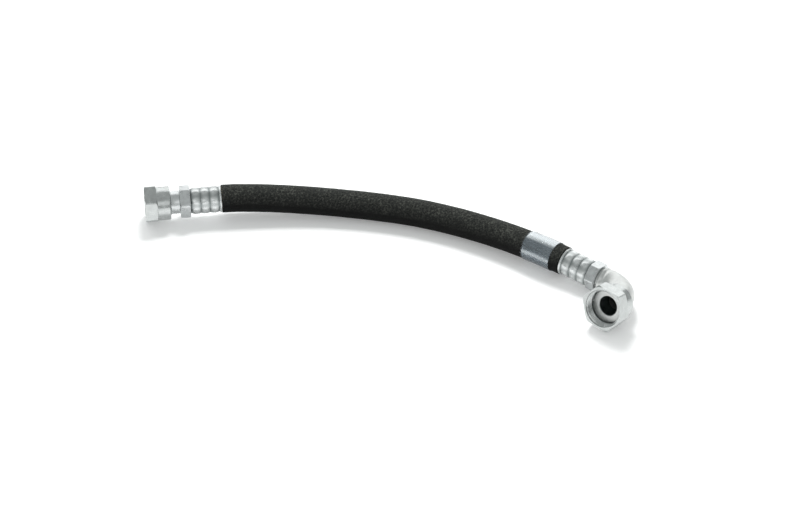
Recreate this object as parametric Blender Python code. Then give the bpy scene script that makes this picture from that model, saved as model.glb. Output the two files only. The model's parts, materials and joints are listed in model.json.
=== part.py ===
"""Hydraulic hose assembly: a two-wire-braid rubber hose with a swivel fitting crimped on each end.

The left end is a straight swivel fitting and the right end a 90 degree elbow swivel fitting.
Both are flat-face seats inside a loose hexagon nut that a wire ring holds on its fitting.
Metres, +Z up.  The assembly lies on z = 0.
"""
import math
from dataclasses import dataclass

import bmesh
import bpy
from mathutils import Matrix, Vector

# --- Clearances -------------------------------------------------------------------------------
FIT_GAP = 0.0003            # between pieces that touch
SPIN_GAP = 0.0004           # between a nut and what it turns on

# --- Hose, from the bore outwards ---------------------------------------------------------------
HOSE_BORE_RADIUS = 0.0095
INNER_TUBE_WALL = 0.0010
BRAID_WALL = 0.0004
FRICTION_LAYER_WALL = 0.00025
COVER_WALL = 0.00175
HOSE_SIDES = 12
STATION_SPACING = 0.022     # between rings along the hose

# --- Identification band ------------------------------------------------------------------------
LABEL_WALL = 0.0002
SLEEVE_WALL = 0.0003
LABEL_LENGTH = 0.032
SLEEVE_OVERHANG = 0.001     # clear sleeve past each end of the label
SLEEVE_TO_FERRULE = 0.010   # bare hose between the sleeve and the elbow's ferrule

# --- Hose stems and ferrules --------------------------------------------------------------------
STEM_WALL = 0.0019          # tail, from its bore to the top of its barbs
BARB_DEPTH = 0.0005
BARB_COUNT = 4
TAIL_TIP_LENGTH = 0.003
TAIL_LENGTH = 0.026         # from the stop collar to the tip
STOP_COLLAR_LENGTH = 0.002
STOP_COLLAR_RISE = 0.0012
LOCK_GROOVE_DEPTH = 0.0006
FERRULE_LENGTH = 0.032
FERRULE_WALL = 0.00115
FERRULE_WEB = 0.0030        # thickness of its rear web, which locks in the stem's groove

# --- Straight fitting, from its seat face towards the hose ---------------------------------------
STRAIGHT_NECK_RADIUS = 0.0118
STRAIGHT_NECK_LENGTH = 0.0095
STRAIGHT_HEX_LENGTH = 0.0105
STRAIGHT_HEX_ACROSS_FLATS = 0.030
STRAIGHT_HEX_TURNED = -16.0     # degrees

# --- Elbow fitting -------------------------------------------------------------------------------
ELBOW_HEX_LENGTH = 0.0105
ELBOW_HEX_ACROSS_FLATS = 0.0266
ELBOW_HEX_TURNED = -27.0        # degrees
ELBOW_SPIGOT_RADIUS = 0.0098
ELBOW_SPIGOT_LENGTH = 0.006
ELBOW_TUBE_RADIUS = 0.0130
ELBOW_TUBE_BORE = 0.0083
ELBOW_LEG = 0.009           # stem hexagon to the start of the bend
ELBOW_BEND_RADIUS = 0.028
ELBOW_NECK = 0.0007         # end of the bend to the seat head
ELBOW_BEND_STEPS = 8

# --- Swivel nuts ---------------------------------------------------------------------------------


@dataclass(frozen=True)
class Swivel:
    """Sizes of one swivel nut and of the seat head that it turns on."""
    across_flats: float
    hex_length: float
    collar_length: float
    collar_radius: float
    thread_radius: float    # the thread's minor radius
    thread_chamfer: float
    seat_depth: float       # nut mouth to the seat face
    seat_bore: float
    turned: float           # degrees that the nut is turned on its axis at rest


STRAIGHT_SWIVEL = Swivel(across_flats=0.036, hex_length=0.0125, collar_length=0.0135,
                         collar_radius=0.0174, thread_radius=0.0140, thread_chamfer=0.0010,
                         seat_depth=0.0125, seat_bore=0.0076, turned=25.0)
ELBOW_SWIVEL = Swivel(across_flats=0.041, hex_length=0.0135, collar_length=0.0125,
                      collar_radius=0.0190, thread_radius=0.0172, thread_chamfer=0.0011,
                      seat_depth=0.0105, seat_bore=0.0100, turned=-24.7)
NUT_REAR_LAND = 0.0003      # step from the thread down to the nut's plain rear bore
TURNED_SIDES = 24           # a multiple of 6, so that a hexagon's corners fall on it

# --- Retaining wire rings --------------------------------------------------------------------------
WIRE_RADIUS = 0.0008
WIRE_SIDES = 6
WIRE_STEPS = 22
WIRE_OPENING = 14.0         # degrees left open in the ring
WIRE_FROM_SEAT = 0.0080

# --- Where it lies -----------------------------------------------------------------------------------
STRAIGHT_SEAT = Vector((-0.2190, 0.1242, 0.0207))
ELBOW_FERRULE_MOUTH = Vector((0.1751, -0.0304, 0.0167))
ELBOW_HEADING = -46.5       # degrees from +X, of the hose where it enters the elbow's ferrule
ELBOW_DESCENT = 3.0         # degrees below level, at the same place
ELBOW_ROLL = 13.0           # degrees that the outlet is rolled up about the hose's axis
HOSE_ROUTE = (
    (-0.1140, 0.1217, 0.0194),
    (-0.0730, 0.1162, 0.0170),
    (-0.0330, 0.1072, 0.0152),
    (0.0070, 0.0942, 0.0146),
    (0.0460, 0.0772, 0.0146),
    (0.0830, 0.0547, 0.0149),
    (0.1190, 0.0262, 0.0160),
    (0.1490, -0.0033, 0.0174),
)
ROUTE_STEPS = 24            # fine steps between two route points


# --- Sizes that follow ---------------------------------------------------------------------------------
def layer_radii():
    """Inner and outer radius of each hose layer, from the bore outwards."""
    walls = (("hose_inner_tube", INNER_TUBE_WALL), ("wire_braid_inner", BRAID_WALL),
             ("friction_layer", FRICTION_LAYER_WALL), ("wire_braid_outer", BRAID_WALL),
             ("hose_cover", COVER_WALL))
    radii = {}
    inner = HOSE_BORE_RADIUS
    for name, wall in walls:
        radii[name] = (inner, inner + wall)
        inner += wall + FIT_GAP
    return radii


LAYERS = layer_radii()
COVER_RADIUS = LAYERS["hose_cover"][1]
FERRULE_INNER = LAYERS["wire_braid_outer"][1] + FIT_GAP
FERRULE_OUTER = FERRULE_INNER + FERRULE_WALL
HOSE_BORE_CLEAR = HOSE_BORE_RADIUS * math.cos(math.pi / HOSE_SIDES)   # to the flats of its sides
TAIL_RADIUS = HOSE_BORE_CLEAR - FIT_GAP
STEM_BORE = TAIL_RADIUS - STEM_WALL
GROOVE_RADIUS = TAIL_RADIUS - LOCK_GROOVE_DEPTH
GROOVE_LENGTH = FERRULE_WEB + 2.0 * FIT_GAP
STOP_TO_MOUTH = FERRULE_LENGTH - FERRULE_WEB - FIT_GAP - STOP_COLLAR_LENGTH
HOSE_IN_FERRULE = STOP_TO_MOUTH - FIT_GAP


def head_radius(swivel):
    """Outer radius of the seat head, which the nut's plain rear bore slides over."""
    return swivel.thread_radius - NUT_REAR_LAND - SPIN_GAP


def head_length(swivel):
    """The seat head runs to the nut's rear face."""
    return swivel.hex_length + swivel.collar_length - swivel.seat_depth + FIT_GAP


# --- Materials -----------------------------------------------------------------------------------------
def make_material(name, colour, roughness, metallic):
    """A plain Principled BSDF material."""
    material = bpy.data.materials.new(name)
    material.use_nodes = True
    shader = material.node_tree.nodes["Principled BSDF"]
    shader.inputs["Base Color"].default_value = (*colour, 1.0)
    shader.inputs["Roughness"].default_value = roughness
    shader.inputs["Metallic"].default_value = metallic
    material.diffuse_color = (*colour, 1.0)
    return material


# --- Rings and lofted bodies ---------------------------------------------------------------------------
def round_ring(frame, radius, sides):
    """Points of a circle in the frame's XY plane."""
    turns = [math.tau * i / sides for i in range(sides)]
    return [frame @ Vector((radius * math.cos(a), radius * math.sin(a), 0.0)) for a in turns]


def hex_ring(frame, half_width, sides):
    """Points of a hexagon, half_width from its centre to its flats, with a flat at angle 0."""
    points = []
    for i in range(sides):
        angle = math.tau * i / sides
        from_flat = (angle + math.pi / 6.0) % (math.pi / 3.0) - math.pi / 6.0
        radius = half_width / math.cos(from_flat)
        points.append(frame @ Vector((radius * math.cos(angle), radius * math.sin(angle), 0.0)))
    return points


def add_object(name, mesh, material, parent=None):
    """Turn a finished bmesh into a named object."""
    bmesh.ops.recalc_face_normals(mesh, faces=mesh.faces)
    data = bpy.data.meshes.new(name)
    mesh.to_mesh(data)
    mesh.free()
    data.materials.append(material)
    data.shade_smooth()
    data.set_sharp_from_angle(angle=math.radians(35.0))
    item = bpy.data.objects.new(name, data)
    item.parent = parent
    bpy.context.collection.objects.link(item)
    return item


def loft(name, rings, material, parent=None, closed=True):
    """Join rings side by side; the last joins the first, or both ends are capped."""
    mesh = bmesh.new()
    loops = [[mesh.verts.new(point) for point in ring] for ring in rings]
    pairs = list(zip(loops, loops[1:]))
    if closed:
        pairs.append((loops[-1], loops[0]))
    for loop, following in pairs:
        for i, corner in enumerate(loop):
            j = (i + 1) % len(loop)
            mesh.faces.new((corner, loop[j], following[j], following[i]))
    if not closed:
        mesh.faces.new(loops[0])
        mesh.faces.new(loops[-1])
    return add_object(name, mesh, material, parent)


def turned(name, outline, material, parent, along=None):
    """A hollow turned body.  Its outline is (station, radius) or (station, half width, "hex")."""
    place = along or (lambda station: Matrix.Translation((0.0, 0.0, station)))
    rings = []
    for station, radius, *shape in outline:
        ring = hex_ring if shape else round_ring
        rings.append(ring(place(station), radius, TURNED_SIDES))
    return loft(name, rings, material, parent)


# --- The hose's route -----------------------------------------------------------------------------------
def elbow_direction():
    """Unit vector of the hose where it enters the elbow's ferrule."""
    heading = math.radians(ELBOW_HEADING)
    descent = math.radians(ELBOW_DESCENT)
    level = math.cos(descent)
    return Vector((level * math.cos(heading), level * math.sin(heading), -math.sin(descent)))


def straight_mouth():
    """Where the hose leaves the straight fitting's ferrule."""
    reach = (head_length(STRAIGHT_SWIVEL) + STRAIGHT_NECK_LENGTH + STRAIGHT_HEX_LENGTH
             + FIT_GAP + FERRULE_LENGTH)
    return STRAIGHT_SEAT + Vector((reach, 0.0, 0.0))


def hermite(a, b, slope_a, slope_b, t):
    """Cubic from a to b with the given slopes."""
    return ((2 * t ** 3 - 3 * t ** 2 + 1) * a + (t ** 3 - 2 * t ** 2 + t) * slope_a
            + (3 * t ** 2 - 2 * t ** 3) * b + (t ** 3 - t ** 2) * slope_b)


def smooth_route(points, start_direction, end_direction):
    """Fine points of one smooth curve through the given points."""
    slopes = [start_direction * (points[1] - points[0]).length]
    slopes += [(after - before) / 2.0 for before, after in zip(points, points[2:])]
    slopes.append(end_direction * (points[-1] - points[-2]).length)
    fine = []
    for i in range(len(points) - 1):
        for step in range(ROUTE_STEPS):
            t = step / ROUTE_STEPS
            fine.append(hermite(points[i], points[i + 1], slopes[i], slopes[i + 1], t))
    return fine + [points[-1]]


class Route:
    """The free hose's line, carried on straight into each ferrule, with frames along it.

    Distances count from the straight fitting's ferrule mouth, so they start below zero.
    """

    def __init__(self, fine, start_direction, end_direction):
        lead_in = fine[0] - start_direction * HOSE_IN_FERRULE
        lead_out = fine[-1] + end_direction * HOSE_IN_FERRULE
        self.points = [lead_in, *fine, lead_out]
        self.distances = [-HOSE_IN_FERRULE]
        for before, after in zip(self.points, self.points[1:]):
            self.distances.append(self.distances[-1] + (after - before).length)
        self.length = self.distances[-2]

    def point(self, distance):
        """The point at a distance."""
        last = len(self.points) - 2
        i = sum(1 for mark in self.distances[1:-1] if mark <= distance)
        i = min(i, last)
        span = self.distances[i + 1] - self.distances[i]
        share = (distance - self.distances[i]) / span
        return self.points[i].lerp(self.points[i + 1], share)

    def direction(self, distance):
        """Unit tangent, read across a short stretch."""
        reach = 0.002
        return (self.point(distance + reach) - self.point(distance - reach)).normalized()

    def frames(self, stations):
        """Frames at the stations, each turned from the one before by the least angle."""
        direction = Vector((1.0, 0.0, 0.0))
        turn = direction.to_track_quat("Z", "Y")
        frames = []
        for station in stations:
            following = self.direction(station)
            turn = direction.rotation_difference(following) @ turn
            direction = following
            frames.append(Matrix.Translation(self.point(station)) @ turn.to_matrix().to_4x4())
        return frames


def even_stations(start, end, inner_marks=()):
    """Distances from start to end, evenly spaced between the marks."""
    marks = [start, *inner_marks, end]
    stations = [start]
    for low, high in zip(marks, marks[1:]):
        count = max(1, math.ceil((high - low) / STATION_SPACING))
        stations += [low + (high - low) * i / count for i in range(1, count + 1)]
    return stations


def hose_layer(name, route, stations, radii, material):
    """One tubular layer of the hose, open at both ends."""
    inner, outer = radii
    frames = route.frames(stations)
    rings = [round_ring(frame, outer, HOSE_SIDES) for frame in frames]
    rings += [round_ring(frame, inner, HOSE_SIDES) for frame in reversed(frames)]
    return loft(name, rings, material)


def build_hose(rubber, wire, film, clear):
    """The five layers of the hose and the band round it."""
    points = [straight_mouth(), *map(Vector, HOSE_ROUTE), ELBOW_FERRULE_MOUTH]
    start_direction, end_direction = Vector((1.0, 0.0, 0.0)), elbow_direction()
    fine = smooth_route(points, start_direction, end_direction)
    route = Route(fine, start_direction, end_direction)
    finish = {"wire_braid_inner": wire, "wire_braid_outer": wire}
    for name, radii in LAYERS.items():
        start, end = -HOSE_IN_FERRULE, route.length + HOSE_IN_FERRULE
        marks = (0.0, route.length)
        if name == "hose_cover":
            start, end, marks = FIT_GAP, route.length - FIT_GAP, ()
        stations = even_stations(start, end, marks)
        hose_layer(name, route, stations, radii, finish.get(name, rubber))
    build_band(route, film, clear)


def build_band(route, film, clear):
    """The silver label wrapped on the hose, and the clear sleeve shrunk over it."""
    sleeve_end = route.length - SLEEVE_TO_FERRULE
    label_end = sleeve_end - SLEEVE_OVERHANG
    label_start = label_end - LABEL_LENGTH
    sleeve_start = label_start - SLEEVE_OVERHANG
    label_inner = COVER_RADIUS + FIT_GAP
    label_outer = label_inner + LABEL_WALL
    sleeve_inner = label_outer + FIT_GAP
    sleeve_outer = sleeve_inner + SLEEVE_WALL
    label_at = even_stations(label_start, label_end)
    sleeve_at = even_stations(sleeve_start, sleeve_end)
    hose_layer("id_label", route, label_at, (label_inner, label_outer), film)
    hose_layer("label_sleeve", route, sleeve_at, (sleeve_inner, sleeve_outer), clear)


# --- Fittings -------------------------------------------------------------------------------------------
def barbed_tail(start):
    """Outline of a stem's tail: lock groove, stop collar, barbs and tip, from the hexagon out."""
    groove_end = start + GROOVE_LENGTH
    collar_end = groove_end + STOP_COLLAR_LENGTH
    collar_radius = TAIL_RADIUS + STOP_COLLAR_RISE
    tip_start = collar_end + TAIL_LENGTH - TAIL_TIP_LENGTH
    pitch = (tip_start - collar_end) / BARB_COUNT
    low = TAIL_RADIUS - BARB_DEPTH
    outline = [(start, GROOVE_RADIUS), (groove_end, GROOVE_RADIUS),
               (groove_end, collar_radius), (collar_end, collar_radius), (collar_end, low)]
    for i in range(BARB_COUNT):
        foot = collar_end + (i + 1) * pitch
        outline += [(foot - pitch / 2.0, TAIL_RADIUS), (foot, low)]
    return outline + [(tip_start + TAIL_TIP_LENGTH, low), (tip_start + TAIL_TIP_LENGTH, STEM_BORE)]


def build_ferrule(name, steel, parent, mouth, towards):
    """A crimped ferrule.  Its mouth is at the hose, and its web lies towards the fitting."""
    rear = mouth + towards * FERRULE_LENGTH
    web = rear - towards * FERRULE_WEB
    web_radius = GROOVE_RADIUS + FIT_GAP
    outline = [(mouth, FERRULE_INNER), (mouth, FERRULE_OUTER), (rear, FERRULE_OUTER),
               (rear, web_radius), (web, web_radius), (web, FERRULE_INNER)]
    return turned(name, outline, steel, parent)


def seat_head(swivel, face, towards):
    """Outline of a seat head from the seat face back to the head's rear edge, with the
    wire's groove round it."""
    radius = head_radius(swivel)
    reach = WIRE_RADIUS + FIT_GAP
    groove = radius - reach
    wire = face + towards * WIRE_FROM_SEAT
    return [(face, swivel.seat_bore), (face, radius), (wire - towards * reach, radius),
            (wire - towards * reach, groove), (wire + towards * reach, groove),
            (wire + towards * reach, radius), (face + towards * head_length(swivel), radius)]


def build_nut(name, swivel, steel, parent):
    """A hexagon swivel nut with a round rear collar, bored for its thread and for the head."""
    mouth = -swivel.seat_depth
    rear = mouth + swivel.hex_length + swivel.collar_length
    half = swivel.across_flats / 2.0
    rear_bore = swivel.thread_radius - NUT_REAR_LAND
    reach = WIRE_RADIUS + FIT_GAP
    wire_groove = head_radius(swivel) + SPIN_GAP + reach
    outline = [(mouth, swivel.thread_radius + swivel.thread_chamfer), (mouth, half, "hex"),
               (mouth + swivel.hex_length, half, "hex"),
               (mouth + swivel.hex_length, swivel.collar_radius), (rear, swivel.collar_radius),
               (rear, rear_bore), (WIRE_FROM_SEAT + reach, rear_bore),
               (WIRE_FROM_SEAT + reach, wire_groove), (WIRE_FROM_SEAT - reach, wire_groove),
               (WIRE_FROM_SEAT - reach, rear_bore), (NUT_REAR_LAND, rear_bore),
               (0.0, swivel.thread_radius), (mouth + swivel.thread_chamfer, swivel.thread_radius)]
    nut = turned(name, outline, steel, parent)
    nut.rotation_euler = (0.0, 0.0, math.radians(swivel.turned))
    return nut


def build_wire(name, swivel, wire, parent):
    """The open wire ring that lies half in the head and half in the nut."""
    ring_radius = head_radius(swivel) + SPIN_GAP / 2.0
    span = math.radians(360.0 - WIRE_OPENING)
    rings = []
    for step in range(WIRE_STEPS + 1):
        swing = Matrix.Rotation(span * step / WIRE_STEPS, 4, "Z")
        shift = Matrix.Translation((ring_radius, 0.0, WIRE_FROM_SEAT))
        stand = Matrix.Rotation(math.radians(90.0), 4, "X")
        rings.append(round_ring(swing @ shift @ stand, WIRE_RADIUS - FIT_GAP / 2.0, WIRE_SIDES))
    ring = loft(name, rings, wire, parent, closed=False)
    ring.rotation_euler = (0.0, 0.0, math.radians(swivel.turned))
    return ring


def add_frame(name, matrix):
    """An empty that carries the pieces of one axis."""
    empty = bpy.data.objects.new(name, None)
    empty.matrix_world = matrix
    empty.empty_display_size = 0.02
    bpy.context.collection.objects.link(empty)
    return empty


def build_straight_end(steel, wire):
    """The straight swivel fitting.  Local +Z runs from the seat face into the hose."""
    into_hose = Matrix(((0.0, 0.0, 1.0), (0.0, -1.0, 0.0), (1.0, 0.0, 0.0))).to_4x4()
    axis = add_frame("straight_axis", Matrix.Translation(STRAIGHT_SEAT) @ into_hose)
    neck = head_length(STRAIGHT_SWIVEL)
    hex_start = neck + STRAIGHT_NECK_LENGTH
    hex_end = hex_start + STRAIGHT_HEX_LENGTH
    half = STRAIGHT_HEX_ACROSS_FLATS / 2.0
    outline = seat_head(STRAIGHT_SWIVEL, 0.0, 1.0)
    outline += [(neck, STRAIGHT_NECK_RADIUS), (hex_start, STRAIGHT_NECK_RADIUS),
                (hex_start, half, "hex"), (hex_end, half, "hex")]
    outline += barbed_tail(hex_end)
    stem = turned("straight_stem", outline, steel, axis)
    stem.rotation_euler = (0.0, 0.0, math.radians(STRAIGHT_HEX_TURNED))
    mouth = hex_end + FIT_GAP + FERRULE_LENGTH
    build_ferrule("straight_ferrule", steel, axis, mouth, -1.0)
    build_nut("straight_swivel_nut", STRAIGHT_SWIVEL, steel, axis)
    build_wire("straight_retaining_wire", STRAIGHT_SWIVEL, wire, axis)


def elbow_axes():
    """Frame at the elbow ferrule's mouth: +Z along the hose, +X along the outlet."""
    along = elbow_direction()
    level = along.cross(Vector((0.0, 0.0, 1.0))).normalized()
    upright = level.cross(along)
    roll = math.radians(ELBOW_ROLL)
    outlet = level * math.cos(roll) + upright * math.sin(roll)
    side = along.cross(outlet)
    turn = Matrix((outlet, side, along)).transposed().to_4x4()
    return Matrix.Translation(ELBOW_FERRULE_MOUTH) @ turn


def bend_place(start, corner):
    """Place at each distance along the elbow's centre line, from start round to the seat."""
    first_leg = corner - start - ELBOW_BEND_RADIUS
    arc_length = ELBOW_BEND_RADIUS * math.pi / 2.0

    def place(distance):
        angle = min(max(distance - first_leg, 0.0) / ELBOW_BEND_RADIUS, math.pi / 2.0)
        past = max(distance - first_leg - arc_length, 0.0)
        x = ELBOW_BEND_RADIUS * (1.0 - math.cos(angle)) + past
        z = start + min(distance, first_leg) + ELBOW_BEND_RADIUS * math.sin(angle)
        return Matrix.Translation((x, 0.0, z)) @ Matrix.Rotation(angle, 4, "Y")

    seat = first_leg + arc_length + ELBOW_NECK + head_length(ELBOW_SWIVEL)
    bend = [first_leg + arc_length * i / ELBOW_BEND_STEPS for i in range(ELBOW_BEND_STEPS + 1)]
    return place, seat, bend


def build_elbow_end(steel, wire):
    """The elbow fitting: stem, forged elbow, ferrule, nut and wire."""
    axes = elbow_axes()
    hose_axis = add_frame("elbow_hose_axis", axes)
    hex_start = FERRULE_LENGTH + FIT_GAP
    hex_end = hex_start + ELBOW_HEX_LENGTH
    spigot_end = hex_end + ELBOW_SPIGOT_LENGTH
    half = ELBOW_HEX_ACROSS_FLATS / 2.0
    build_ferrule("elbow_ferrule", steel, hose_axis, 0.0, 1.0)
    tail = [(hex_start - (station - hex_start), radius) for station, radius in barbed_tail(hex_start)]
    outline = [(spigot_end, STEM_BORE), (spigot_end, ELBOW_SPIGOT_RADIUS),
               (hex_end, ELBOW_SPIGOT_RADIUS), (hex_end, half, "hex"), (hex_start, half, "hex")]
    stem = turned("elbow_stem", outline + tail, steel, hose_axis)
    stem.rotation_euler = (0.0, 0.0, math.radians(ELBOW_HEX_TURNED))
    corner = hex_end + ELBOW_LEG + ELBOW_BEND_RADIUS
    drop = ELBOW_BEND_RADIUS + ELBOW_NECK + head_length(ELBOW_SWIVEL)
    build_elbow_body(steel, hose_axis, hex_end + FIT_GAP, corner)
    port = axes @ Matrix.Translation((drop, 0.0, corner))
    port_axis = add_frame("elbow_port_axis", port @ Matrix.Rotation(math.radians(-90.0), 4, "Y"))
    build_nut("elbow_swivel_nut", ELBOW_SWIVEL, steel, port_axis)
    build_wire("elbow_retaining_wire", ELBOW_SWIVEL, wire, port_axis)


def build_elbow_body(steel, parent, start, corner):
    """The forged elbow, bored through, with the seat head at its outlet."""
    place, seat, bend = bend_place(start, corner)
    spigot = ELBOW_SPIGOT_RADIUS + FIT_GAP
    spigot_depth = ELBOW_SPIGOT_LENGTH
    head = list(reversed(seat_head(ELBOW_SWIVEL, seat, -1.0)))
    outline = [(0.0, spigot), (0.0, ELBOW_TUBE_RADIUS)]
    outline += [(station, ELBOW_TUBE_RADIUS) for station in bend]
    outline += [(seat - head_length(ELBOW_SWIVEL), ELBOW_TUBE_RADIUS)]
    outline += head
    outline += [(bend[-1], ELBOW_TUBE_BORE)]
    outline += [(station, ELBOW_TUBE_BORE) for station in reversed(bend[:-1])]
    outline += [(spigot_depth, ELBOW_TUBE_BORE), (spigot_depth, spigot)]
    turned("elbow_body", outline, steel, parent, place)


def main():
    """Clear the scene and build every piece."""
    for item in list(bpy.data.objects):
        bpy.data.objects.remove(item)
    steel = make_material("zinc_steel", (0.62, 0.64, 0.65), 0.32, 1.0)
    wire = make_material("spring_wire", (0.45, 0.45, 0.46), 0.35, 1.0)
    rubber = make_material("hose_rubber", (0.022, 0.023, 0.022), 0.62, 0.0)
    film = make_material("silver_film", (0.42, 0.47, 0.52), 0.25, 0.7)
    clear = make_material("clear_film", (0.80, 0.84, 0.86), 0.12, 0.0)
    build_hose(rubber, wire, film, clear)
    build_straight_end(steel, wire)
    build_elbow_end(steel, wire)


main()
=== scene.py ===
"""Looks of the hydraulic hose assembly: the hose at its real length, its band and its fittings.

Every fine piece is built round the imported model's own axes, in metres, +Z up.
"""
import json
import math

import bmesh
import bpy
from mathutils import Matrix, Vector, noise


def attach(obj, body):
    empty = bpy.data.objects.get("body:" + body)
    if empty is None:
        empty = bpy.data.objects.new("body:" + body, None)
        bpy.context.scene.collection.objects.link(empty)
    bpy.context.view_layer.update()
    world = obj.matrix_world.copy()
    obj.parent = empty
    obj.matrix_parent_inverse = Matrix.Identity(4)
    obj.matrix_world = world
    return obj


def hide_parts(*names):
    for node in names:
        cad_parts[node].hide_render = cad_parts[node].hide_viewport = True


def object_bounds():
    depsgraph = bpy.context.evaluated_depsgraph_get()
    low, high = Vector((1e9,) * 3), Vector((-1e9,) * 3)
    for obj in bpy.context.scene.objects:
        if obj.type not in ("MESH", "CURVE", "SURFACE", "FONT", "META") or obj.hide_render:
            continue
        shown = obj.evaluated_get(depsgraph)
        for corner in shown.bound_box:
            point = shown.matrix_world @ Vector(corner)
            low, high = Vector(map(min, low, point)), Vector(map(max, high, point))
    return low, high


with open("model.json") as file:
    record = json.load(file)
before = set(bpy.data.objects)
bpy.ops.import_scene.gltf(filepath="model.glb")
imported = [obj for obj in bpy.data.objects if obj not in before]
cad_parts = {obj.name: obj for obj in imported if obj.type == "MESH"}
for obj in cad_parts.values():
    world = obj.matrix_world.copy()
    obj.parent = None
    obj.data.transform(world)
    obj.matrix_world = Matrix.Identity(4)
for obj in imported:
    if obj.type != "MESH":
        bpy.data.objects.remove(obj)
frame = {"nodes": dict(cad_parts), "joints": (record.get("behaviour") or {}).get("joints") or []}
cad_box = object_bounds()

# --- Camera ------------------------------------------------------------------------------------
VIEW_AZIMUTH = math.radians(8.2)
VIEW_ELEVATION = math.radians(35.0)
VIEW_DISTANCE = 2.4
VIEW_TARGET = Vector((0.0140, 0.0092, 0.0))
LENS_MM = 108.4

# --- Hose, as in part.py -------------------------------------------------------------------------
HOSE_RADIUS, COVER_INNER = 0.0145, 0.0128
ELBOW_MOUTH = Vector((0.1751, -0.0304, 0.0167))
HOSE_ROUTE = (
    (-0.1140, 0.1217, 0.0194),
    (-0.0730, 0.1162, 0.0170),
    (-0.0330, 0.1072, 0.0152),
    (0.0070, 0.0942, 0.0146),
    (0.0460, 0.0772, 0.0146),
    (0.0830, 0.0547, 0.0149),
    (0.1190, 0.0262, 0.0160),
    (0.1490, -0.0033, 0.0174),
)
ROUTE_STEPS = 24
HOSE_SIDES = 96
HOSE_RING_SPACING = 0.0012
BAND_RING_SPACING = 0.001
LABEL_INNER, LABEL_OUTER = 0.0148, 0.0150
SLEEVE_INNER, SLEEVE_OUTER = 0.0153, 0.0156
LABEL_LENGTH = 0.032
SLEEVE_OVERHANG = 0.001
SLEEVE_TO_FERRULE = 0.010

# --- Fittings, as in part.py -----------------------------------------------------------------------
GAP = 0.0003
FERRULE_LENGTH = 0.032
FERRULE_INNER, FERRULE_OUTER = 0.01275, 0.0139
FERRULE_WEB = 0.0030
GROOVE_RADIUS = 0.00828
TAIL_RADIUS = 0.00888
STEM_BORE = 0.00698
TAIL_LENGTH = 0.026
BARB_COUNT = 4
BARB_DEPTH = 0.0005
TURNED_SIDES = 96
HEX_SIDES = 144


class Swivel:
    """Sizes of one swivel nut, its thread and its seat head."""

    def __init__(self, half, hexagon, collar, collar_radius, minor, depth, bore, turned):
        self.half = half                    # half of the width across the flats
        self.hexagon = hexagon              # length of the hexagon
        self.collar = collar
        self.collar_radius = collar_radius
        self.minor = minor                  # the thread's minor radius
        self.depth = depth                  # nut mouth to seat face
        self.bore = bore
        self.turned = turned                # degrees
        self.head = minor - 0.0007
        self.rear_bore = minor - 0.0003
        self.head_length = hexagon + collar - depth + GAP


STRAIGHT = Swivel(0.018, 0.0125, 0.0135, 0.0174, 0.0140, 0.0125, 0.0076, 25.0)
ELBOW = Swivel(0.0205, 0.0135, 0.0125, 0.0190, 0.0172, 0.0105, 0.0100, -24.7)
THREAD_PITCH = 0.0254 / 12.0
THREAD_DEPTH = 0.0014
SEAT_EDGE = 0.0006

STRAIGHT_NECK_RADIUS, STRAIGHT_NECK_LENGTH = 0.0118, 0.0095
NECK_FILLET = 0.0012
STRAIGHT_HEX_HALF, STRAIGHT_HEX_LENGTH, STRAIGHT_HEX_TURNED = 0.0150, 0.0105, -16.0
ELBOW_HEX_HALF, ELBOW_HEX_LENGTH, ELBOW_HEX_TURNED = 0.0133, 0.0105, -27.0
ELBOW_SPIGOT_RADIUS, ELBOW_SPIGOT_LENGTH = 0.0098, 0.006
ELBOW_TUBE_RADIUS, ELBOW_TUBE_BORE = 0.0130, 0.0083
ELBOW_LEG, ELBOW_BEND_RADIUS, ELBOW_NECK = 0.009, 0.028, 0.0007
ELBOW_GROOVE, ELBOW_GROOVE_RADIUS, ELBOW_BOSS = 0.0019, 0.0109, 0.0062

# --- Crimp of the ferrules ---------------------------------------------------------------------------
HOOPS = (0.0078, 0.0172, 0.0264)
HALF_HOOP = 0.0044
HOOP_RADIUS = 0.01324
CRIMP_FLOOR = 0.01285
DIE_COUNT = 8
DIE_CORNER = 0.00058
DENT = 0.00012
LIP_LENGTH, LIP_FADE = 0.0016, 0.0012
WEB_ROUND = 0.0011
CRIMP_SPACING = 0.0004


# --- Axes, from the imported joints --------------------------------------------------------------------
def joint_axis(name):
    """Place and unit axis of a packed joint."""
    joint = next(j for j in frame["joints"] if j["name"] == name)
    return Vector(joint["pos_m"]), Vector(joint["axis"]).normalized()


def axes_frame(origin, along, across):
    """A place whose +Z is along and whose +X is across."""
    side = along.cross(across).normalized()
    turn = Matrix((side.cross(along), side, along)).transposed().to_4x4()
    return Matrix.Translation(origin) @ turn


STRAIGHT_SEAT, STRAIGHT_OUT = joint_axis("straight_nut_spin")
ELBOW_SEAT, ELBOW_OUT = joint_axis("elbow_nut_spin")
ELBOW_DROP = ELBOW_BEND_RADIUS + ELBOW_NECK + ELBOW.head_length
ELBOW_CORNER = ELBOW_SEAT - ELBOW_OUT * ELBOW_DROP
ELBOW_ALONG = (ELBOW_CORNER - ELBOW_MOUTH).normalized()
STRAIGHT_REACH = (STRAIGHT.head_length + STRAIGHT_NECK_LENGTH + STRAIGHT_HEX_LENGTH
                  + GAP + FERRULE_LENGTH)
STRAIGHT_MOUTH = STRAIGHT_SEAT - STRAIGHT_OUT * STRAIGHT_REACH
STRAIGHT_AXIS = axes_frame(STRAIGHT_SEAT, -STRAIGHT_OUT, Vector((0.0, 0.0, 1.0)))
ELBOW_HOSE_AXIS = axes_frame(ELBOW_MOUTH, ELBOW_ALONG, ELBOW_OUT)
ELBOW_PORT_AXIS = axes_frame(ELBOW_SEAT, -ELBOW_OUT, ELBOW_ALONG)


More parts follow.
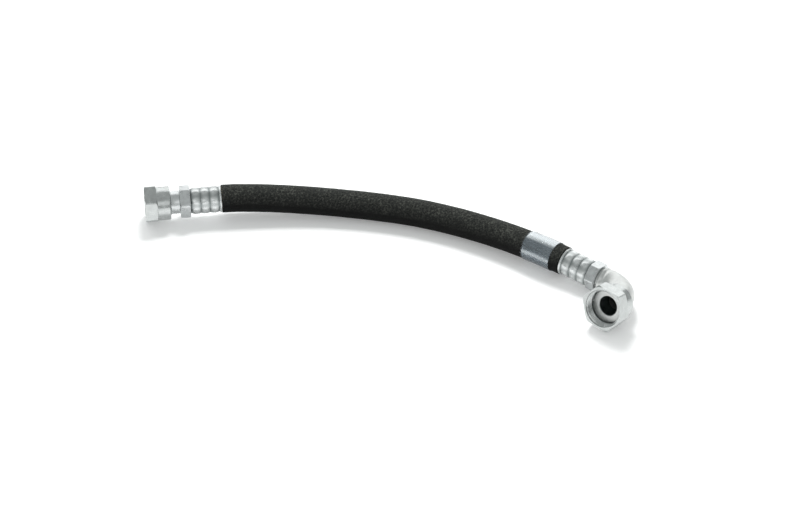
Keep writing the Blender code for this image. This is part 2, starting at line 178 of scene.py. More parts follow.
# --- Camera, light and floor ------------------------------------------------------------------------
def add_camera():
    """The view from the front, a little from the left and above."""
    level = math.cos(VIEW_ELEVATION)
    ahead = Vector((math.sin(VIEW_AZIMUTH) * level, math.cos(VIEW_AZIMUTH) * level,
                    -math.sin(VIEW_ELEVATION)))
    data = bpy.data.cameras.new("camera")
    data.lens = LENS_MM
    data.sensor_width = 36.0
    data.clip_start = 0.05
    data.clip_end = 50.0
    camera = bpy.data.objects.new("camera", data)
    camera.location = VIEW_TARGET - ahead * VIEW_DISTANCE
    camera.rotation_euler = ahead.to_track_quat("-Z", "Y").to_euler()
    bpy.context.collection.objects.link(camera)
    bpy.context.scene.camera = camera


def add_softbox(name, place, target, width, height, power, mirrored=True):
    """A rectangular area light aimed at a point, seen in polished surfaces or not."""
    data = bpy.data.lights.new(name, "AREA")
    data.shape = "RECTANGLE"
    data.size = width
    data.size_y = height
    data.energy = power
    light = bpy.data.objects.new(name, data)
    light.location = place
    light.visible_glossy = mirrored
    aim = Vector(target) - Vector(place)
    light.rotation_euler = aim.to_track_quat("-Z", "Y").to_euler()
    bpy.context.collection.objects.link(light)


def add_studio():
    """White floor, pale room, a broad light behind the part, a small key light and a weak front one.
    The key light isn't mirrored in the metal."""
    world = bpy.data.worlds.new("room")
    world.use_nodes = True
    room = world.node_tree.nodes["Background"]
    room.inputs["Color"].default_value = (0.96, 1.0, 0.99, 1.0)
    room.inputs["Strength"].default_value = 0.52
    bpy.context.scene.world = world
    bpy.context.scene.view_settings.view_transform = "Standard"
    add_softbox("backdrop", (0.0, 1.6, 1.0), (0.0, 0.0, 0.0), 4.2, 1.7, 23.0)
    add_softbox("key", (0.15, 1.0, 1.4), (0.0, 0.0, 0.0), 0.5, 0.5, 22.0, mirrored=False)
    add_softbox("front", (-0.7, -1.5, 1.1), (0.0, 0.0, 0.0), 1.6, 1.0, 3.0)
    mesh = bpy.data.meshes.new("floor")
    half = 4.0
    below = 0.0002
    corners = [(-half, -half, 0.0), (half, -half, 0.0), (half, half, 0.0), (-half, half, 0.0)]
    mesh.from_pydata(corners, [], [(0, 1, 2, 3)])
    floor = bpy.data.objects.new("floor", mesh)
    floor.location.z = cad_box[0][2] - below
    paper = bpy.data.materials.new("paper")
    paper.use_nodes = True
    shader = paper.node_tree.nodes["Principled BSDF"]
    shader.inputs["Base Color"].default_value = (0.90, 0.90, 0.90, 1.0)
    shader.inputs["Emission Color"].default_value = (1.0, 1.0, 1.0, 1.0)
    shader.inputs["Emission Strength"].default_value = 0.20
    shader.inputs["Roughness"].default_value = 0.75
    mesh.materials.append(paper)
    bpy.context.collection.objects.link(floor)


# --- Meshes over rings -------------------------------------------------------------------------------
def skin(name, rings, girth, material, sharp=28.0, closed=True):
    """A mesh over rings with equal counts.  Its UV map runs along the rings and round them, in
    metres.  The last ring joins the first, or the ends stay open."""
    mesh = bmesh.new()
    lay = mesh.loops.layers.uv.new("lay")
    loops = [[mesh.verts.new(point) for point in ring] for ring in rings]
    order = list(range(len(loops)))
    if closed:
        order.append(0)
    count = len(loops[0])
    along = 0.0
    for here, there in zip(order, order[1:]):
        ahead = along + (rings[there][0] - rings[here][0]).length
        for j in range(count):
            k = (j + 1) % count
            face = mesh.faces.new((loops[here][j], loops[here][k], loops[there][k], loops[there][j]))
            marks = ((along, j), (along, j + 1), (ahead, j + 1), (ahead, j))
            for loop, (u, v) in zip(face.loops, marks):
                loop[lay].uv = (u, v * girth / count)
        along = ahead
    bmesh.ops.remove_doubles(mesh, verts=mesh.verts, dist=1e-7)
    bmesh.ops.recalc_face_normals(mesh, faces=mesh.faces)
    data = bpy.data.meshes.new(name)
    mesh.to_mesh(data)
    mesh.free()
    data.shade_smooth()
    data.set_sharp_from_angle(angle=math.radians(sharp))
    data.materials.append(material)
    item = bpy.data.objects.new(name, data)
    bpy.context.collection.objects.link(item)
    return item


def number(value, angle):
    """A size that is a number or a function of the angle."""
    return value(angle) if callable(value) else value


def ring(place, sides, station, radius):
    """Points round a place's Z axis.  Station and radius are numbers or functions of the angle."""
    points = []
    for i in range(sides):
        angle = math.tau * i / sides
        reach = number(radius, angle)
        points.append(place @ Vector((reach * math.cos(angle), reach * math.sin(angle),
                                      number(station, angle))))
    return points


def lathe(name, place, outline, material, sides=TURNED_SIDES, sharp=28.0):
    """A closed turned body from (station, radius) pairs."""
    rings = [ring(place, sides, station, radius) for station, radius in outline]
    return skin(name, rings, math.tau * 0.015, material, sharp)


def hexagon(half):
    """Radius of a hexagon whose corners are taken off by a hair, at each angle."""
    corner = half / math.cos(math.pi / 6.0) - 0.0003

    def radius(angle):
        from_flat = (angle + math.pi / 6.0) % (math.pi / 3.0) - math.pi / 6.0
        return min(half / math.cos(from_flat), corner)

    return radius


def hex_stretch(half, low, high, face_radius):
    """Outline of a hexagon from low to high, its corners chamfered at 30 degrees at both ends."""
    radius = hexagon(half)
    slope = math.tan(math.radians(30.0))
    way = 1.0 if high > low else -1.0

    def cut(angle):
        return max(radius(angle) - face_radius, 0.0) * slope

    return [(low, lambda a: min(radius(a), face_radius)), (lambda a: low + way * cut(a), radius),
            (lambda a: high - way * cut(a), radius), (high, lambda a: min(radius(a), face_radius))]


def finish_piece(piece, body, slot, *nodes):
    """Ride a body and stand for CAD nodes; the slot argument is not used."""
    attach(piece, body)
    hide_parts(*nodes)


# --- Procedural materials ------------------------------------------------------------------------------
class Shader:
    """A material's node tree, with short calls for the nodes used here."""

    def __init__(self, name):
        self.material = bpy.data.materials.new(name)
        self.material.use_nodes = True
        self.tree = self.material.node_tree
        self.surface = self.tree.nodes["Principled BSDF"]

    def node(self, kind, **settings):
        """Add a node and set its properties."""
        made = self.tree.nodes.new(kind)
        for key, value in settings.items():
            setattr(made, key, value)
        return made

    def link(self, source, target):
        """Join two sockets."""
        self.tree.links.new(source, target)

    def set(self, **values):
        """Set the surface shader's own sockets."""
        for key, value in values.items():
            self.surface.inputs[key.replace("_", " ")].default_value = value

    def place(self, scale, lay=True):
        """Coordinates in metres times a scale: along and round the piece, or its own space."""
        if lay:
            source = self.node("ShaderNodeUVMap", uv_map="lay").outputs["UV"]
        else:
            source = self.node("ShaderNodeTexCoord").outputs["Object"]
        mapping = self.node("ShaderNodeMapping")
        mapping.inputs["Scale"].default_value = scale
        self.link(source, mapping.inputs["Vector"])
        return mapping.outputs["Vector"]

    def noise(self, scale, detail=4.0, lay=False, rough=0.55):
        """Noise with features of one unit per scale step."""
        made = self.node("ShaderNodeTexNoise")
        made.inputs["Scale"].default_value = 1.0
        made.inputs["Detail"].default_value = detail
        made.inputs["Roughness"].default_value = rough
        self.link(self.place(scale, lay), made.inputs["Vector"])
        return made.outputs["Fac"]

    def ramp(self, value, stops):
        """A colour ramp over (position, grey or colour) stops."""
        made = self.node("ShaderNodeValToRGB")
        elements = made.color_ramp.elements
        while len(elements) < len(stops):
            elements.new(0.5)
        for element, (position, colour) in zip(elements, stops):
            element.position = position
            shade = colour if isinstance(colour, tuple) else (colour, colour, colour)
            element.color = (*shade, 1.0)
        self.link(value, made.inputs["Fac"])
        return made.outputs["Color"]

    def mix(self, factor, first, second, mode="MIX"):
        """Mix two colours, each a socket or a tuple."""
        made = self.node("ShaderNodeMix", data_type="RGBA", blend_type=mode)
        for name, value in (("Factor", factor), ("A", first), ("B", second)):
            socket = next(s for s in made.inputs if s.name == name and s.enabled)
            if isinstance(value, (tuple, float)):
                socket.default_value = (*value, 1.0) if isinstance(value, tuple) else value
            else:
                self.link(value, socket)
        return next(s for s in made.outputs if s.enabled)

    def from_axis(self, origin, along):
        """How far a place is from an axis, and how far along it, in metres."""
        arm = self.node("ShaderNodeVectorMath", operation="SUBTRACT")
        self.link(self.place((1.0, 1.0, 1.0), lay=False), arm.inputs[0])
        arm.inputs[1].default_value = origin
        made = []
        for operation in ("CROSS_PRODUCT", "DOT_PRODUCT"):
            step = self.node("ShaderNodeVectorMath", operation=operation)
            self.link(arm.outputs["Vector"], step.inputs[0])
            step.inputs[1].default_value = along
            made.append(step)
        size = self.node("ShaderNodeVectorMath", operation="LENGTH")
        self.link(made[0].outputs["Vector"], size.inputs[0])
        return size.outputs["Value"], made[1].outputs["Value"]

    def facing_up(self):
        """1 where the surface faces up, 0 where it faces down."""
        split = self.node("ShaderNodeSeparateXYZ")
        self.link(self.node("ShaderNodeTexCoord").outputs["Normal"], split.inputs["Vector"])
        return self.math("MULTIPLY_ADD", split.outputs["Z"], 0.5, 0.5)

    def shade(self, amount, dark):
        """Darken the base colour by an amount."""
        socket = self.surface.inputs["Base Color"]
        before = socket.links[0].from_socket
        self.link(self.mix(amount, before, dark, "MULTIPLY"), socket)

    def math(self, operation, *values):
        """A math node on its values."""
        made = self.node("ShaderNodeMath", operation=operation)
        for socket, value in zip(made.inputs, values):
            if isinstance(value, float):
                socket.default_value = value
            else:
                self.link(value, socket)
        return made.outputs["Value"]

    def bump(self, height, strength, distance, below=None):
        """A bump on top of another."""
        made = self.node("ShaderNodeBump")
        made.inputs["Strength"].default_value = strength
        made.inputs["Distance"].default_value = distance
        self.link(height, made.inputs["Height"])
        if below is not None:
            self.link(below, made.inputs["Normal"])
        return made.outputs["Normal"]


def rubber_material():
    """Matt black wrapped rubber with the print of its cloth and pale dust where it faces up; its base
    colour is painted lighter on top, as painted light from above.
    """
    shader = Shader("cover_rubber")
    weave = shader.node("ShaderNodeSeparateXYZ")
    cells = HOSE_RADIUS * math.tau / 100.0      # cloth thread spacing, a whole count round the hose
    shader.link(shader.place((math.tau / cells, math.tau / cells, 1.0)), weave.inputs["Vector"])
    warp = shader.math("SINE", weave.outputs["X"])
    weft = shader.math("SINE", weave.outputs["Y"])
    cloth = shader.math("MULTIPLY", warp, weft)
    grain = shader.noise((900.0, 900.0, 900.0), 5.0, rough=0.7)
    dust = shader.noise((520.0, 520.0, 520.0), 6.0, rough=0.75)
    patches = shader.noise((38.0, 38.0, 38.0), 3.0)
    specks = shader.ramp(dust, [(0.49, 0.0), (0.62, 1.0)])
    cover = shader.ramp(patches, [(0.35, 0.45), (0.68, 1.0)])
    # Mask of faces that point up: it gathers the dust specks and sets the painted top light below.
    upward = shader.ramp(shader.facing_up(), [(0.5, 0.05), (0.88, 1.0)])
    settled = shader.math("MULTIPLY", shader.math("MULTIPLY", specks, cover), upward)
    amount = shader.math("MULTIPLY", settled, 0.75)
    # Painted light: black underneath, lighter grey on top where the surface faces up, standing in for
    # light from above.
    painted_top_light_and_wear = shader.mix(upward, (0.003, 0.003, 0.003), (0.036, 0.039, 0.036))
    black = (0.003, 0.003, 0.003)
    base = shader.mix(shader.ramp(grain, [(0.35, 0.0), (0.65, 1.0)]), black, painted_top_light_and_wear)
    dusty = shader.mix(amount, base, (0.135, 0.138, 0.122))
    shader.link(dusty, shader.surface.inputs["Base Color"])
    matt = shader.ramp(patches, [(0.3, 0.66), (0.7, 0.82)])
    shader.link(matt, shader.surface.inputs["Roughness"])
    fine = shader.bump(cloth, 0.55, 0.00012)
    shader.link(shader.bump(grain, 0.6, 0.00030, fine), shader.surface.inputs["Normal"])
    shader.set(Specular_IOR_Level=0.12)
    return shader.material


def zinc_material(name, tint, roughness, streaks, streak_strength, grit=0.25):
    """Bright zinc plate: a little blotchy, with fine tool marks that run along or round a piece."""
    shader = Shader(name)
    cloud = shader.noise((160.0, 160.0, 160.0), 5.0)
    marks = shader.noise(streaks, 3.0, lay=True, rough=0.6)
    speckle = shader.noise((1100.0, 1100.0, 1100.0), 2.0)
    dull = tuple(0.80 * channel for channel in tint)
    colour = shader.mix(shader.ramp(cloud, [(0.35, 0.0), (0.65, 1.0)]), dull, tint)
    painted_top_light_and_wear = shader.mix(shader.ramp(marks, [(0.42, 0.0), (0.62, 0.35)]), colour, tint)
    shader.link(painted_top_light_and_wear, shader.surface.inputs["Base Color"])
    low, high = roughness
    shader.link(shader.ramp(cloud, [(0.3, low), (0.7, high)]), shader.surface.inputs["Roughness"])
    turned = shader.bump(marks, streak_strength, 0.00012)
    shader.link(shader.bump(speckle, grit, 0.00020, turned), shader.surface.inputs["Normal"])
    shader.set(Metallic=1.0)
    return shader


def ferrule_material(name, origin, along):
    """Bright zinc with painted shade in the crimp's grooves."""
    shader = zinc_material(name, (0.74, 0.76, 0.76), (0.22, 0.38), (90.0, 900.0, 1.0), 0.25, 0.9)
    away, _ = shader.from_axis(origin, along)
    # Painted shade: darker where the surface lies close to the axis, down in the crimp's grooves.
    groove_shade_radius, groove_shade_depth = 0.0128, 0.0008
    height = shader.math("DIVIDE", shader.math("SUBTRACT", away, groove_shade_radius), groove_shade_depth)
    shader.shade(shader.ramp(height, [(0.1, 1.0), (0.95, 0.0)]), (0.34, 0.36, 0.36))
    return shader.material


def forging_material():
    """Satin zinc on the forged elbow, with painted shade inside the bore, set by the distance from the
    axis.
    """
    shader = zinc_material("zinc_forging", (0.66, 0.67, 0.66), (0.34, 0.46), (200.0, 200.0, 1.0),
                           0.15)
    # Painted shade: darker on surfaces within the bore's radius, from the seat face back through the
    # seat head.
    away, along = shader.from_axis(ELBOW_SEAT, ELBOW_OUT)
    shade_margin = 0.00025
    inside = shader.math("LESS_THAN", away, ELBOW.bore - shade_margin)
    near = shader.math("GREATER_THAN", along, -ELBOW.head_length)
    shader.shade(shader.math("MULTIPLY", inside, near), (0.42, 0.50, 0.50))
    return shader.material


def film_material():
    """Metallised film: blue-grey silver, brushed along the hose, slightly creased.  Its broad bright
    bands are painted by which way the surface faces, and don't follow the light."""
    shader = Shader("silver_film")
    brushed = shader.noise((14.0, 420.0, 1.0), 2.0, lay=True, rough=0.5)
    creases = shader.noise((16.0, 150.0, 1.0), 1.0, lay=True)
    mottle = shader.noise((160.0, 160.0, 160.0), 3.0)
    dark, middle = (0.10, 0.125, 0.145), (0.15, 0.18, 0.205)
    light, bright = (0.21, 0.245, 0.27), (0.68, 0.72, 0.74)
    colour = shader.mix(shader.ramp(mottle, [(0.38, 0.0), (0.62, 1.0)]), dark, middle)
    fine_streaks = shader.mix(shader.ramp(brushed, [(0.45, 0.0), (0.7, 0.5)]), colour, light)
    broad = shader.ramp(shader.facing_up(), [(0.46, 0.0), (0.53, 0.45), (0.59, 0.6), (0.66, 0.1),
                                             (0.93, 0.05), (0.97, 1.0)])
    shader.link(shader.mix(broad, fine_streaks, bright), shader.surface.inputs["Base Color"])
    shader.link(shader.ramp(brushed, [(0.3, 0.20), (0.7, 0.32)]), shader.surface.inputs["Roughness"])
    fine = shader.bump(brushed, 0.12, 0.00004)
    shader.link(shader.bump(creases, 0.5, 0.0012, fine), shader.surface.inputs["Normal"])
    shader.set(Metallic=0.9, Coat_Weight=0.6, Coat_Roughness=0.12)
    return shader.material


def clear_material():
    """Clear shrink film, a little hazy."""
    shader = Shader("clear_film")
    haze = shader.noise((30.0, 160.0, 1.0), 2.0, lay=True)
    tint = shader.mix(haze, (0.20, 0.23, 0.26), (0.32, 0.35, 0.38))
    shader.link(tint, shader.surface.inputs["Base Color"])
    shader.link(shader.ramp(haze, [(0.3, 0.16), (0.7, 0.26)]), shader.surface.inputs["Roughness"])
    shader.link(shader.bump(haze, 0.15, 0.0001), shader.surface.inputs["Normal"])
    shader.set(Alpha=0.08)
    return shader.material


def braid_material():
    """Brass-coated wire braid, two families of bands that cross."""
    shader = Shader("braid_wire")
    parts = shader.node("ShaderNodeSeparateXYZ")
    shader.link(shader.place((900.0, 900.0, 900.0), lay=False), parts.inputs["Vector"])
    one = shader.math("SINE", shader.math("ADD", parts.outputs["X"], parts.outputs["Z"]))
    other = shader.math("SINE", shader.math("SUBTRACT", parts.outputs["X"], parts.outputs["Z"]))
    weave = shader.math("MULTIPLY", one, other)
    crossing = shader.ramp(weave, [(0.3, 0.0), (0.7, 1.0)])
    brass = shader.mix(crossing, (0.33, 0.27, 0.16), (0.66, 0.57, 0.38))
    shader.link(brass, shader.surface.inputs["Base Color"])
    shader.link(shader.bump(weave, 0.8, 0.0003), shader.surface.inputs["Normal"])
    shader.set(Metallic=1.0, Roughness=0.38)
    return shader.material


def tube_rubber_material():
    """Smooth black rubber of the hose's inner layers."""
    shader = Shader("inner_rubber")
    cloud = shader.noise((140.0, 140.0, 140.0), 4.0)
    black = shader.mix(cloud, (0.012, 0.012, 0.012), (0.03, 0.03, 0.029))
    shader.link(black, shader.surface.inputs["Base Color"])
    shader.link(shader.ramp(cloud, [(0.3, 0.4), (0.7, 0.55)]), shader.surface.inputs["Roughness"])
    shader.link(shader.bump(cloud, 0.2, 0.0003), shader.surface.inputs["Normal"])
    return shader.material


def wire_material():
    """Dark drawn spring wire."""
    shader = Shader("spring_wire")
    drawn = shader.noise((700.0, 700.0, 700.0), 3.0)
    steel = shader.mix(drawn, (0.26, 0.26, 0.27), (0.46, 0.46, 0.47))
    shader.link(steel, shader.surface.inputs["Base Color"])
    shader.link(shader.ramp(drawn, [(0.3, 0.28), (0.7, 0.42)]), shader.surface.inputs["Roughness"])
    shader.link(shader.bump(drawn, 0.2, 0.0001), shader.surface.inputs["Normal"])
    shader.set(Metallic=1.0)
    return shader.material


# --- The hose -----------------------------------------------------------------------------------------
def hermite(a, b, slope_a, slope_b, t):
    """Cubic from a to b with the given slopes."""
    return ((2 * t ** 3 - 3 * t ** 2 + 1) * a + (t ** 3 - 2 * t ** 2 + t) * slope_a
            + (3 * t ** 2 - 2 * t ** 3) * b + (t ** 3 - t ** 2) * slope_b)


def hose_line():
    """Fine points of the hose's line from one ferrule's mouth to the other's."""
    points = [STRAIGHT_MOUTH, *map(Vector, HOSE_ROUTE), ELBOW_MOUTH]
    slopes = [-STRAIGHT_OUT * (points[1] - points[0]).length]
    slopes += [(after - before) / 2.0 for before, after in zip(points, points[2:])]
    slopes.append(ELBOW_ALONG * (points[-1] - points[-2]).length)
    fine = []
    for i in range(len(points) - 1):
        for step in range(ROUTE_STEPS):
            share = step / ROUTE_STEPS
            fine.append(hermite(points[i], points[i + 1], slopes[i], slopes[i + 1], share))
    return fine + [points[-1]]


class Line:
    """A measured line with frames along it."""

    def __init__(self, points):
        self.points = points
        self.marks = [0.0]
        for before, after in zip(points, points[1:]):
            self.marks.append(self.marks[-1] + (after - before).length)
        self.length = self.marks[-1]

    def point(self, distance):
        """The point at a distance, carried on straight past the ends."""
        i = sum(mark <= distance for mark in self.marks[1:-1])
        share = (distance - self.marks[i]) / (self.marks[i + 1] - self.marks[i])
        return self.points[i].lerp(self.points[i + 1], share)

    def frames(self, stations):
        """Frames at the stations, each turned from the one before by the least angle."""
        reach = 0.002
        direction = Vector((1.0, 0.0, 0.0))
        turn = direction.to_track_quat("Z", "Y")
        made = []
        for station in stations:
            following = (self.point(station + reach) - self.point(station - reach)).normalized()
            turn = direction.rotation_difference(following) @ turn
            direction = following
            made.append(Matrix.Translation(self.point(station)) @ turn.to_matrix().to_4x4())
        return made


def spread(low, high, spacing):
    """Evenly spaced values from low to high."""
    count = max(2, math.ceil((high - low) / spacing))
    return [low + (high - low) * i / count for i in range(count + 1)]


def hose_tube(name, line, stations, inner, outer, material, ripple):
    """A tube along the line whose outside follows a ripple function of station and angle."""
    places = line.frames(stations)
    outside = [ring(place, HOSE_SIDES, 0.0, lambda a, s=s: outer + ripple(s, a))
               for place, s in zip(places, stations)]
    inside = [ring(place, HOSE_SIDES, 0.0, inner) for place in reversed(places)]
    return skin(name, outside + inside, math.tau * outer, material)


def hose_ripple(station, angle):
    """Slight unevenness of the wrapped cover."""
    spot = Vector((station * 90.0, math.cos(angle) * 1.6, math.sin(angle) * 1.6))
    fine = Vector((station * 420.0, math.cos(angle) * 7.0, math.sin(angle) * 7.0))
    return -0.00012 + 0.00010 * noise.noise(spot) + 0.00005 * noise.noise(fine)


def label_ripple(station, angle):
    """Flat creases along a film pulled tight."""
    spot = Vector((station * 12.0, math.cos(angle) * 4.2, math.sin(angle) * 4.2))
    return 0.00014 * noise.noise(spot)


def add_hose(line, rubber):
    """The cover at its real length."""
    stations = spread(GAP, line.length - GAP, HOSE_RING_SPACING)
    hose = hose_tube("hose_cover_skin", line, stations, COVER_INNER, HOSE_RADIUS, rubber, hose_ripple)
    finish_piece(hose, "hose_body", "cover_rubber", "hose_cover")


def add_band(line, film, clear):
    """The silver label and its clear sleeve."""
    sleeve_end = line.length - SLEEVE_TO_FERRULE
    label_end = sleeve_end - SLEEVE_OVERHANG
    label_start = label_end - LABEL_LENGTH
    label_at = spread(label_start, label_end, BAND_RING_SPACING)
    sleeve_at = spread(label_start - SLEEVE_OVERHANG, sleeve_end, BAND_RING_SPACING)
    label = hose_tube("label_film", line, label_at, LABEL_INNER, LABEL_OUTER, film, label_ripple)
    finish_piece(label, "hose_body", "silver_film", "id_label")
    sleeve = hose_tube("sleeve_film", line, sleeve_at, SLEEVE_INNER, SLEEVE_OUTER, clear, label_ripple)
    finish_piece(sleeve, "hose_body", "clear_film", "label_sleeve")


# --- Fittings -----------------------------------------------------------------------------------------
def smooth_step(value):
    """0 below 0, 1 above 1, and smooth between."""
    t = min(max(value, 0.0), 1.0)
    return t * t * (3.0 - 2.0 * t)


def crimp_radius(station, angle):
    """Outer radius of a crimped ferrule: three hoops and a lip, pressed by the dies."""
    nearest = min(abs(station - hoop) for hoop in HOOPS) / HALF_HOOP
    hump = max(1.0 - nearest ** 2, 0.0)
    hoop = math.sqrt(hump) * 0.4 + hump * 0.6
    lip = 1.0 - smooth_step((station - LIP_LENGTH) / LIP_FADE)
    die = math.tau / DIE_COUNT
    from_flat = (angle + die / 2.0) % die - die / 2.0
    corner = DIE_CORNER * smooth_step(abs(from_flat) / (die / 2.0))
    spot = Vector((math.cos(angle) * 3.0, math.sin(angle) * 3.0, station * 260.0))
    pressed = HOOP_RADIUS + corner + DENT * noise.noise(spot)
    rise = (pressed - CRIMP_FLOOR) * hoop
    return CRIMP_FLOOR + rise + (FERRULE_OUTER - CRIMP_FLOOR) * lip * (1.0 - hoop)


def add_ferrule(name, place, mouth, towards, turned, material, node):
    """A crimped ferrule, from its mouth at the hose to its web at the fitting."""
    lip_edge = 0.0006
    end = FERRULE_LENGTH - WEB_ROUND
    twist = math.radians(turned)
    stations = spread(lip_edge, end, CRIMP_SPACING)

    def outer(station):
        return lambda a: crimp_radius(station, a + twist)

    outline = [(mouth, FERRULE_INNER), (mouth, FERRULE_OUTER - lip_edge)]
    outline += [(mouth + towards * s, outer(s)) for s in stations]
    for step in range(1, 5):
        turn = math.radians(90.0 * step / 4.0)
        drop = WEB_ROUND * (1.0 - math.cos(turn))
        outline.append((mouth + towards * (end + WEB_ROUND * math.sin(turn)),
                        lambda a, d=drop: crimp_radius(end, a + twist) - d))
    web_radius = GROOVE_RADIUS + GAP
    web = mouth + towards * (FERRULE_LENGTH - FERRULE_WEB)
    outline += [(mouth + towards * FERRULE_LENGTH, web_radius), (web, web_radius), (web, FERRULE_INNER)]
    piece = lathe(name, place, outline, material, sides=128, sharp=50.0)
    finish_piece(piece, "hose_body", "zinc_ferrule", node)


def thread_radius(swivel, station, angle):
    """Radius of the nut's inside thread at a place."""
    turns = (station + swivel.depth) / THREAD_PITCH + angle / math.tau
    share = abs(2.0 * (turns % 1.0) - 1.0)
    cut = min(max(1.45 * share - 0.22, 0.0), 1.0)
    start = smooth_step((station + swivel.depth - 0.0006) / 0.0016)
    return swivel.minor + THREAD_DEPTH * (cut * start + (1.0 - start))


def add_nut(name, place, swivel, body, material, node):
    """A swivel nut: chamfered hexagon, round collar, inside thread, relief and rear bore."""
    mouth = -swivel.depth
    hex_end = mouth + swivel.hexagon
    rear = hex_end + swivel.collar
    turn = place @ Matrix.Rotation(math.radians(swivel.turned), 4, "Z")
    major = swivel.minor + THREAD_DEPTH
    relief = major + 0.0002
    relief_start, relief_end, run_out = -0.0005, 0.0030, 0.0003
    edge, fillet, bevel = 0.0008, 0.0004, 0.0003
    outline = [(mouth, major + bevel)]
    outline += hex_stretch(swivel.half, mouth, hex_end, swivel.half * 1.055)
    outline += [(hex_end, swivel.collar_radius + fillet), (hex_end + fillet, swivel.collar_radius)]
    outline += [(rear - edge, swivel.collar_radius), (rear, swivel.collar_radius - edge)]
    outline += [(rear, swivel.rear_bore + bevel), (rear - bevel, swivel.rear_bore)]
    outline += [(relief_end + run_out, swivel.rear_bore), (relief_end, relief)]
    outline += [(relief_start, relief), (relief_start - run_out, major)]
    for station in reversed(spread(mouth + bevel, -0.0010, THREAD_PITCH / 12.0)):
        outline.append((station, lambda a, s=station: thread_radius(swivel, s, a)))
    piece = lathe(name, turn, outline, material, sides=HEX_SIDES)
    finish_piece(piece, body, "zinc_nut", node)


def seat_outline(swivel, face, towards):
    """Outline of a seat head from its bore over the flat face to its rear edge."""
    soft = SEAT_EDGE
    rear = face + towards * swivel.head_length
    return [(face + towards * 0.0006, swivel.bore - 0.0004), (face, swivel.bore + 0.0002),
            (face, swivel.head - soft), (face + towards * soft, swivel.head),
            (rear - towards * soft, swivel.head), (rear, swivel.head - soft)]


def tail_outline(start, towards):
    """Outline of a stem's barbed tail, from the hexagon's rear face to its tip and into the bore."""
    groove_end = start + towards * (FERRULE_WEB + 2.0 * GAP)
    collar_end = groove_end + towards * 0.002
    tip = collar_end + towards * TAIL_LENGTH
    pitch = (TAIL_LENGTH - 0.003) / BARB_COUNT
    low = TAIL_RADIUS - BARB_DEPTH
    collar = TAIL_RADIUS + 0.0012
    outline = [(start, GROOVE_RADIUS), (groove_end, GROOVE_RADIUS), (groove_end, collar),
               (collar_end, collar), (collar_end, low)]
    for i in range(BARB_COUNT):
        foot = collar_end + towards * (i + 1) * pitch
        outline += [(foot - towards * pitch / 2.0, TAIL_RADIUS), (foot, low)]
    return outline + [(tip - towards * 0.001, low), (tip, STEM_BORE + 0.0008), (tip, STEM_BORE)]


def add_straight_stem(material):
    """The straight fitting's stem, from its seat to its barbed tail."""
    neck = STRAIGHT.head_length
    hex_start = neck + STRAIGHT_NECK_LENGTH
    hex_end = hex_start + STRAIGHT_HEX_LENGTH
    radius = STRAIGHT_NECK_RADIUS
    outline = seat_outline(STRAIGHT, 0.0, 1.0)
    for start, towards, angles in ((neck, 1.0, (0.0, 30.0, 60.0, 90.0)),
                                   (hex_start, -1.0, (90.0, 60.0, 30.0, 0.0))):
        for turn in map(math.radians, angles):
            outline.append((start + towards * NECK_FILLET * (1.0 - math.cos(turn)),
                            radius + NECK_FILLET * (1.0 - math.sin(turn))))
    outline += hex_stretch(STRAIGHT_HEX_HALF, hex_start, hex_end, STRAIGHT_HEX_HALF * 1.05)
    outline += tail_outline(hex_end, 1.0)
    outline += [(0.004, STEM_BORE), (0.003, STEM_BORE)]
    turn = STRAIGHT_AXIS @ Matrix.Rotation(math.radians(STRAIGHT_HEX_TURNED), 4, "Z")
    piece = lathe("straight_stem_body", turn, outline, material, sides=HEX_SIDES)
    finish_piece(piece, "hose_body", "zinc_stem", "straight_stem")


def add_elbow_stem(material):
    """The elbow's stem: spigot, hexagon and barbed tail."""
    hex_start = FERRULE_LENGTH + GAP
    hex_end = hex_start + ELBOW_HEX_LENGTH
    spigot_end = hex_end + ELBOW_SPIGOT_LENGTH
    outline = [(spigot_end, STEM_BORE), (spigot_end, ELBOW_SPIGOT_RADIUS - 0.0003),
               (spigot_end - 0.0003, ELBOW_SPIGOT_RADIUS), (hex_end, ELBOW_SPIGOT_RADIUS)]
    outline += hex_stretch(ELBOW_HEX_HALF, hex_end, hex_start, ELBOW_HEX_HALF * 1.04)
    outline += tail_outline(hex_start, -1.0)
    turn = ELBOW_HOSE_AXIS @ Matrix.Rotation(math.radians(ELBOW_HEX_TURNED), 4, "Z")
    piece = lathe("elbow_stem_body", turn, outline, material, sides=HEX_SIDES)
    finish_piece(piece, "hose_body", "zinc_stem", "elbow_stem")


def elbow_place(start, corner):
    """A function of distance to place on the elbow's line, and how far along it the bend starts,
    the bend ends and the seat lies."""
    first_leg = corner - start - ELBOW_BEND_RADIUS
    quarter = ELBOW_BEND_RADIUS * math.pi / 2.0

    def place(distance):
        angle = min(max(distance - first_leg, 0.0) / ELBOW_BEND_RADIUS, math.pi / 2.0)
        past = max(distance - first_leg - quarter, 0.0)
        x = ELBOW_BEND_RADIUS * (1.0 - math.cos(angle)) + past
        z = start + min(distance, first_leg) + ELBOW_BEND_RADIUS * math.sin(angle)
        return ELBOW_HOSE_AXIS @ Matrix.Translation((x, 0.0, z)) @ Matrix.Rotation(angle, 4, "Y")

    bend_end = first_leg + quarter
    return place, first_leg, bend_end, bend_end + ELBOW_NECK + ELBOW.head_length


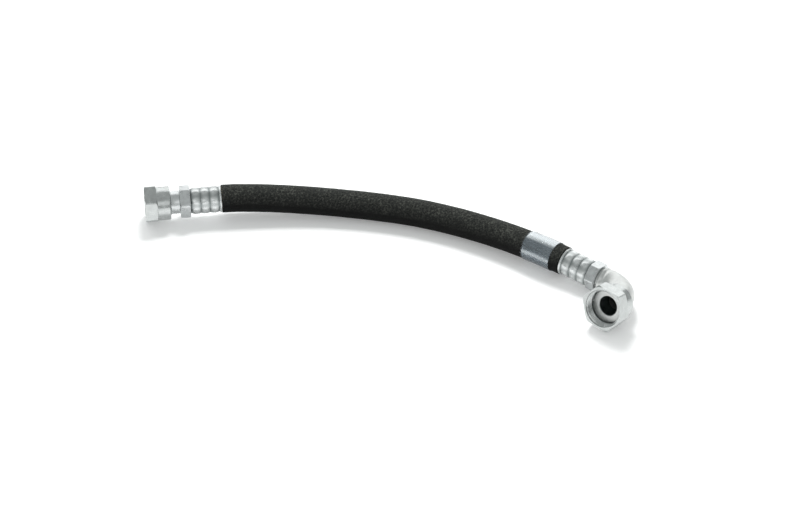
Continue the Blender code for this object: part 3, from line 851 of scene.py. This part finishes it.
def add_elbow_body(material):
    """The forged elbow: groove at the hexagon, round tube with a soft parting ridge, seat head
    and bore."""
    hex_end = FERRULE_LENGTH + GAP + ELBOW_HEX_LENGTH
    start = hex_end + GAP
    corner = hex_end + ELBOW_LEG + ELBOW_BEND_RADIUS
    place, bend_start, bend_end, seat = elbow_place(start, corner)
    radius = ELBOW_TUBE_RADIUS
    sunk = radius - 0.0002      # keeps the ridge and the grain inside the CAD's radius
    waist_depth, waist_width = 0.00080, 0.0016
    edge_depth, edge_width = 0.0010, 0.0008
    ridge_height, ridge_width = 0.00014, 0.05
    grain = 0.00008

    def forged(distance, angle):
        past = (distance - ELBOW_BOSS) / waist_width
        waist = waist_depth * math.exp(-past ** 2)
        edge = edge_depth * (1.0 - smooth_step((distance - ELBOW_GROOVE) / edge_width))
        ridge = ridge_height * math.exp(-(math.sin(angle) / ridge_width) ** 2)
        spot = place(distance) @ Vector((math.cos(angle) * radius, math.sin(angle) * radius, 0.0))
        return sunk - waist - edge + ridge + grain * noise.noise(spot * 120.0)

    spigot = ELBOW_SPIGOT_RADIUS + GAP
    rows = [(0.0, spigot), (0.0, ELBOW_GROOVE_RADIUS), (ELBOW_GROOVE, ELBOW_GROOVE_RADIUS)]
    rows += [(distance, lambda a, d=distance: forged(d, a))
             for distance in spread(ELBOW_GROOVE + 0.00001, bend_end, 0.0004)]
    rows += list(reversed(seat_outline(ELBOW, seat, -1.0)))
    rows += [(seat - ELBOW.head_length * 0.6, ELBOW.bore - 0.0005)]
    bore = [*reversed(spread(bend_start, bend_end, 0.001)), ELBOW_SPIGOT_LENGTH]
    rows += [(distance, ELBOW_TUBE_BORE) for distance in bore]
    rows += [(ELBOW_SPIGOT_LENGTH, spigot)]
    rings = [ring(place(distance), TURNED_SIDES, 0.0, size) for distance, size in rows]
    piece = skin("elbow_forging", rings, math.tau * radius, material)
    finish_piece(piece, "hose_body", "zinc_forging", "elbow_body")


def dress_node(name, material):
    """Give a CAD node's slots one material."""
    for material_slot in frame["nodes"][name].material_slots:
        material_slot.material = material


def main():
    """Build every piece."""
    add_camera()
    line = Line(hose_line())
    add_hose(line, rubber_material())
    add_band(line, film_material(), clear_material())
    add_studio()
    nut = zinc_material("zinc_nut", (0.57, 0.59, 0.585), (0.18, 0.30), (150.0, 1500.0, 1.0),
                        0.35).material
    stem = zinc_material("zinc_stem", (0.66, 0.68, 0.685), (0.24, 0.36), (1400.0, 120.0, 1.0),
                         0.15, grit=0.1).material
    add_ferrule("straight_ferrule_shell", STRAIGHT_AXIS, STRAIGHT_REACH, -1.0, 8.0,
                ferrule_material("ferrule_straight", STRAIGHT_SEAT, STRAIGHT_OUT), "straight_ferrule")
    add_ferrule("elbow_ferrule_shell", ELBOW_HOSE_AXIS, 0.0, 1.0, 30.0,
                ferrule_material("ferrule_elbow", ELBOW_MOUTH, ELBOW_ALONG), "elbow_ferrule")
    add_nut("straight_nut_body", STRAIGHT_AXIS, STRAIGHT, "straight_nut", nut, "straight_swivel_nut")
    add_nut("elbow_nut_body", ELBOW_PORT_AXIS, ELBOW, "elbow_nut", nut, "elbow_swivel_nut")
    add_straight_stem(stem)
    add_elbow_stem(stem)
    add_elbow_body(forging_material())
    braid = braid_material()
    inner = tube_rubber_material()
    wire = wire_material()
    for name, material in (("wire_braid_inner", braid), ("wire_braid_outer", braid),
                           ("hose_inner_tube", inner), ("friction_layer", inner),
                           ("straight_retaining_wire", wire), ("elbow_retaining_wire", wire)):
        dress_node(name, material)


main()
